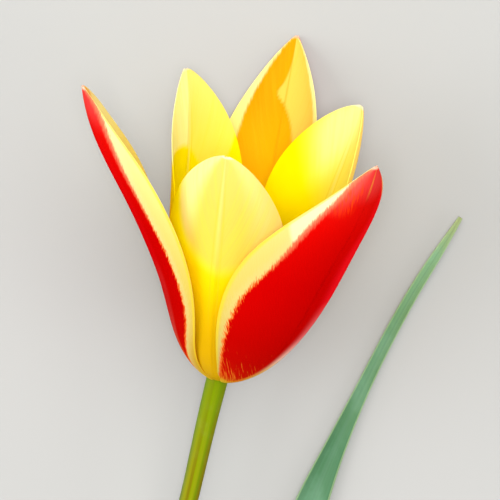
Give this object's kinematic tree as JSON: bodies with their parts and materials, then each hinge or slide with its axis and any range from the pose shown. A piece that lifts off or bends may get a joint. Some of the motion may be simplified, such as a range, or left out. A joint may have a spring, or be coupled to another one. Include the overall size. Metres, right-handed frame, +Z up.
{
  "type": "cut tulip flower",
  "caption": "Cut wild-type tulip lying on a surface: open cup of red-backed and yellow tepals with stamens and pistil, on a thin stem with one long channelled leaf.",
  "frame": {"origin": "on the surface it lies on, under the middle of its outline seen from above", "axes": "+Y along the stem towards the flower's open end, +Z up from the surface it lies on"},
  "size_m": [0.083, 0.1833, 0.0512],
  "materials": {
    "stem": "satin",
    "leaf": "satin",
    "outer_tepal": "satin",
    "inner_tepal": "satin",
    "pistil": "satin",
    "filament": "satin",
    "anther": "matte"
  },
  "bodies": {
    "root": {"stem": "stem", "leaf": "leaf", "outer_tepal_left": "outer_tepal", "outer_tepal_right": "outer_tepal", "outer_tepal_back": "outer_tepal", "inner_tepal_front": "inner_tepal", "inner_tepal_left": "inner_tepal", "inner_tepal_right": "inner_tepal", "pistil": "pistil", "filament_1": "filament", "filament_2": "filament", "filament_3": "filament", "filament_4": "filament", "filament_5": "filament", "filament_6": "filament", "anther_1": "anther", "anther_2": "anther", "anther_3": "anther", "anther_4": "anther", "anther_5": "anther", "anther_6": "anther"}
  },
  "joints": []
}
